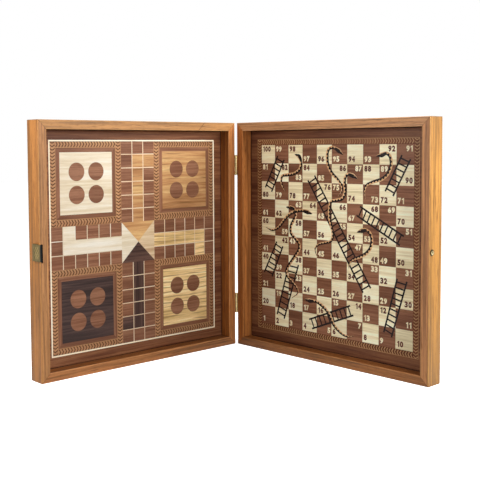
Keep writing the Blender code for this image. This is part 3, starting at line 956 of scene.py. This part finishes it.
def dress_frame():
    """Gives the frame's own solids their finishes."""
    plain_rim = (1.0, 1.0, 1.0)
    # Painted shade on the inner walls
    painted_wall_shade = (0.70, 0.52, 0.34)
    # For each rail: its tray, whether it lies level, its tint, partly its own tone and partly painted light
    # and shade, and the painted light and shade on its rim and wall
    rails = {
        "left_top_rail": (LEFT, True, (0.356, 0.169, 0.054), plain_rim, painted_wall_shade),
        "left_bottom_rail": (LEFT, True, (0.368, 0.143, 0.044), plain_rim, (0.50, 0.40, 0.22)),
        "left_hinge_stile": (LEFT, False, (0.440, 0.167, 0.049), plain_rim, (0.92, 0.78, 0.46)),
        "left_clasp_stile": (LEFT, False, (0.313, 0.124, 0.027), (1.35, 1.54, 2.47), painted_wall_shade),
        "right_top_rail": (RIGHT, True, (0.435, 0.207, 0.083), plain_rim, painted_wall_shade),
        "right_bottom_rail": (RIGHT, True, (0.273, 0.105, 0.031), plain_rim, (0.66, 0.56, 0.37)),
        "right_hinge_stile": (RIGHT, False, (0.366, 0.117, 0.023), plain_rim, (1.22, 1.36, 1.66)),
        "right_clasp_stile": (RIGHT, False, (0.335, 0.157, 0.035), (1.39, 1.29, 2.18), painted_wall_shade),
    }
    for index, (node, (tray, lies, *tints)) in enumerate(rails.items()):
        seam = SEAM if node == "left_top_rail" else None
        seed = 0.3 * index + 0.1
        made = rail_material("wood_" + node, tray, lies, seed, *tints, seam=seam)
        frame["nodes"][node].data.materials[0] = made
    clasp_brass = (0.185, 0.135, 0.049)
    plain = brass_material("brass_leaves", (0.49, 0.38, 0.175), 0.34)
    clasp = brass_material("brass_clasp", clasp_brass, 0.38)
    flap = brass_material("brass_flap", clasp_brass, 0.38, 0.8, flap_marks)
    stud = brass_material("brass_stud", (0.36, 0.29, 0.145), 0.24, 0.4, stud_marks)
    graph = Graph("plywood")
    grain = graph.node("TexCoord").outputs["Object"]
    kind = {"stops": WOODS["band_tan"]["stops"], "pore_colour": srgb(140, 100, 66)}
    core = finish_wood(graph, *wood_nodes(graph, grain, 0.5, kind))
    for name, node in frame["nodes"].items():
        if name in rails or name.endswith("_face"):
            continue
        if name.endswith("_core"):
            chosen = core
        elif name.startswith("clasp_stud"):
            chosen = stud
        elif name == "clasp_flap":
            chosen = flap
        elif name.startswith("clasp"):
            chosen = clasp
        else:
            chosen = plain
        node.data.materials[0] = chosen


def build_world():
    """White to look at. Its light comes softly up from the floor, and from behind the case."""
    from_below, from_behind = 0.12, 0.70
    world = bpy.data.worlds.new("studio")
    bpy.context.scene.world = world
    world.use_nodes = True
    graph = Graph("studio_parts", world)
    x, y, z = graph.split(graph.node("TexCoord").outputs["Generated"])
    below = graph.span(z, 0.02, -0.02, 0.0, from_below)
    behind = graph.span(graph.math("MINIMUM", x, y), 0.0, 0.3, 0.0, from_behind)
    seen = graph.node("LightPath").outputs["Is Camera Ray"]
    background = graph.tree.nodes["Background"]
    background.inputs["Color"].default_value = (1, 1, 1, 1)
    graph.put(background.inputs["Strength"], graph.larger(graph.plus(below, behind), seen))


def build_floor():
    """A pale floor, so evenly lit that it runs into the background."""
    reach = 6
    mesh = bpy.data.meshes.new("floor")
    corners = [(-reach, -reach, 0), (reach, -reach, 0), (reach, reach, 0), (-reach, reach, 0)]
    mesh.from_pydata(corners, [], [(0, 1, 2, 3)])
    floor = bpy.data.objects.new("floor", mesh)
    floor.location.z = -0.0002
    floor.visible_diffuse = False
    floor.visible_shadow = False
    bpy.context.scene.collection.objects.link(floor)
    graph = Graph("floor")
    cloud = graph.noise(graph.scaled(graph.node("TexCoord").outputs["Object"], (3, 3, 3)), 2)
    colour = graph.mix(cloud, (0.90, 0.90, 0.90, 1), (0.93, 0.93, 0.93, 1))
    graph.put(graph.shader.inputs["Base Color"], colour)
    graph.shader.inputs["Roughness"].default_value = 0.9
    graph.shader.inputs["Specular IOR Level"].default_value = 0.0
    graph.shader.inputs["Emission Color"].default_value = (1, 1, 1, 1)
    graph.shader.inputs["Emission Strength"].default_value = 0.98
    mesh.materials.append(graph.material)


# Lamps on a ball round the case: the way round it, the height above the level, distance, side and power
LAMPS = (
    (300, 60, 0.60, 0.25, 2.60),
    (305, 28, 0.80, 0.25, 6.10),
    (270, 12, 0.80, 0.25, 3.10),
    (160, 22, 0.75, 0.35, 5.45),
)


def build_lamps():
    middle = Vector((0, 0, 0.17))
    for index, (round_it, height, distance, size, power) in enumerate(LAMPS):
        turn, lift = math.radians(round_it), math.radians(height)
        level = math.cos(lift)
        away = Vector((math.cos(turn) * level, math.sin(turn) * level, math.sin(lift)))
        data = bpy.data.lights.new(f"soft_{index}", "AREA")
        data.shape = "SQUARE"
        data.size = size
        data.energy = power
        lamp = bpy.data.objects.new(data.name, data)
        lamp.location = middle + away * distance
        lamp.rotation_euler = (-away).to_track_quat("-Z", "Y").to_euler()
        lamp.visible_camera = False
        bpy.context.scene.collection.objects.link(lamp)


def build_camera():
    """The photograph's view, solved from the case's corners."""
    place = (-0.74492, -0.80480, 0.30290)
    yaw, pitch, roll = (math.radians(a) for a in (41.2612, 3.3868, -0.3604))
    # In pixels of a square picture
    picture = 480
    focal, centre_x, centre_y = 860.947, 209.159, 198.468
    sensor = 36
    ahead = Vector((math.sin(yaw) * math.cos(pitch), math.cos(yaw) * math.cos(pitch), -math.sin(pitch)))
    level = Vector((math.cos(yaw), -math.sin(yaw), 0))
    upright = level.cross(ahead)
    right = level * math.cos(roll) + upright * math.sin(roll)
    up = upright * math.cos(roll) - level * math.sin(roll)
    data = bpy.data.cameras.new("camera")
    data.sensor_width = sensor
    data.lens = focal / picture * sensor
    data.shift_x = (picture / 2 - centre_x) / picture
    data.shift_y = (centre_y - picture / 2) / picture
    data.clip_start = 0.01
    camera = bpy.data.objects.new("camera", data)
    turn = Matrix((right, up, -ahead)).transposed().to_4x4()
    camera.matrix_world = Matrix.Translation(place) @ turn
    bpy.context.scene.collection.objects.link(camera)
    bpy.context.scene.camera = camera


build_ludo()
build_snakes()
build_chess()
build_backgammon()
dress_frame()
bpy.context.scene.view_settings.view_transform = "Standard"
build_world()
build_floor()
build_lamps()
build_camera()
